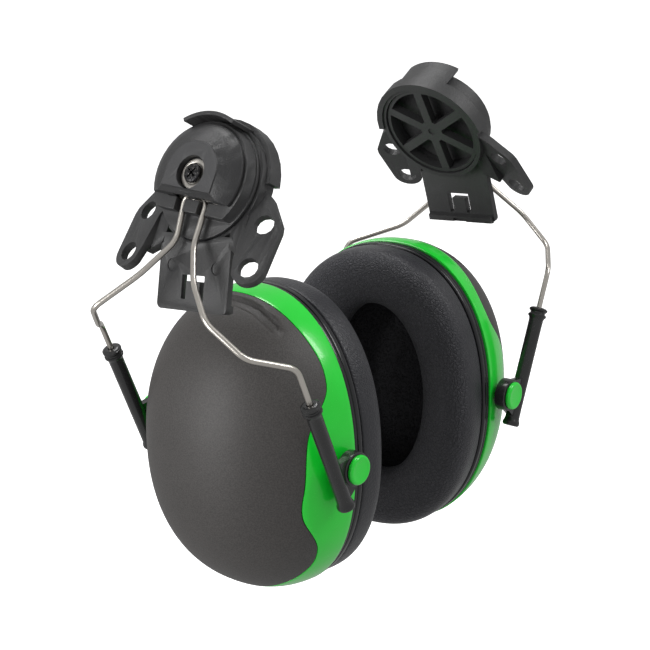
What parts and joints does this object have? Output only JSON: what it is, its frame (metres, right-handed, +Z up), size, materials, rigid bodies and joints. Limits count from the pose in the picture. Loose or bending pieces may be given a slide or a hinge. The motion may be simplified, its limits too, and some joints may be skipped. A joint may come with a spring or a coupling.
{
  "type": "helmet-mounted earmuffs",
  "caption": "Pair of helmet-mounted ear defenders: slot-in helmet brackets with swivel hubs, sprung wire arms, sliding sleeves and tilting padded ear cups.",
  "frame": {"origin": "midway between the centres of the two swivel hubs, on the middle plane of the head", "axes": "+X towards the wearer's left ear, +Y towards the back of the head, +Z up; the wearer faces -Y"},
  "size_m": [0.1986, 0.0997, 0.1727],
  "materials": {
    "black_plastic": "fine spark-eroded black moulding, slightly polished on the raised faces",
    "grey_shell": "satin warm dark grey with a very fine speckle",
    "green_plastic": "glossy green moulding",
    "bright_steel": "drawn spring steel, bright with fine lengthwise lines",
    "black_screw": "blackened steel, worn in the cross recess",
    "cushion_skin": "grained black vinyl skin, smoother and glossier on its side wall",
    "black_foam": "open-cell black foam"
  },
  "bodies": {
    "helmet_side": {"left_helmet_mount": "black_plastic", "left_spoked_plate": "black_plastic", "left_hub_screw": "black_screw", "left_screw_bush": "bright_steel", "right_helmet_mount": "black_plastic", "right_spoked_plate": "black_plastic", "right_hub_screw": "black_screw", "right_screw_bush": "bright_steel"},
    "left_hub": {"left_hub_cover": "black_plastic", "left_hub_base": "black_plastic", "left_leaf_spring": "bright_steel"},
    "left_arm": {"left_wire_arm": "bright_steel"},
    "left_sleeves": {"left_front_sleeve": "black_plastic", "left_front_pivot_pin": "green_plastic", "left_rear_sleeve": "black_plastic", "left_rear_pivot_pin": "green_plastic"},
    "left_cup": {"left_cup_shell": "grey_shell", "left_cup_band": "green_plastic", "left_cushion_plate": "black_plastic", "left_cushion": "cushion_skin", "left_foam_liner": "black_foam"},
    "right_hub": {"right_hub_cover": "black_plastic", "right_hub_base": "black_plastic", "right_leaf_spring": "bright_steel"},
    "right_arm": {"right_wire_arm": "bright_steel"},
    "right_sleeves": {"right_front_sleeve": "black_plastic", "right_front_pivot_pin": "green_plastic", "right_rear_sleeve": "black_plastic", "right_rear_pivot_pin": "green_plastic"},
    "right_cup": {"right_cup_shell": "grey_shell", "right_cup_band": "green_plastic", "right_cushion_plate": "black_plastic", "right_cushion": "cushion_skin", "right_foam_liner": "black_foam"}
  },
  "joints": [
    {"name": "left_hub_swivel", "type": "hinge", "parent": "helmet_side", "child": "left_hub", "pos_m": [0.0624, 0, 0], "axis": [0.8797, 0, 0.4756], "range_deg": [-12, 15]},
    {"name": "left_arm_swing", "type": "hinge", "parent": "left_hub", "child": "left_arm", "pos_m": [0.0733, 0.00065, -0.00123], "axis": [0.0489, -0.9947, -0.0904], "range_deg": [0, 40], "stiffness_Nm_per_rad": 1.2, "springref_deg": -8.59},
    {"name": "left_sleeve_slide", "type": "slide", "parent": "left_arm", "child": "left_sleeves", "axis": [-0.4199, 0.0617, -0.9055], "range_m": [-0.007, 0.01]},
    {"name": "left_cup_tilt", "type": "hinge", "parent": "left_sleeves", "child": "left_cup", "pos_m": [0.04669, 0.00836, -0.09163], "axis": [-0.0392, 0.9946, 0.0957], "range_deg": [-8, 8]},
    {"name": "right_hub_swivel", "type": "hinge", "parent": "helmet_side", "child": "right_hub", "pos_m": [-0.0624, 0, 0], "axis": [0.8797, 0, -0.4756], "range_deg": [-12, 15]},
    {"name": "right_arm_swing", "type": "hinge", "parent": "right_hub", "child": "right_arm", "pos_m": [-0.0733, 0.00065, -0.00123], "axis": [0.0489, 0.9947, 0.0904], "range_deg": [0, 40], "stiffness_Nm_per_rad": 1.2, "springref_deg": -8.59},
    {"name": "right_sleeve_slide", "type": "slide", "parent": "right_arm", "child": "right_sleeves", "axis": [0.4199, 0.0617, -0.9055], "range_m": [-0.007, 0.01]},
    {"name": "right_cup_tilt", "type": "hinge", "parent": "right_sleeves", "child": "right_cup", "pos_m": [-0.04669, 0.00836, -0.09163], "axis": [-0.0392, -0.9946, -0.0957], "range_deg": [-8, 8]}
  ]
}
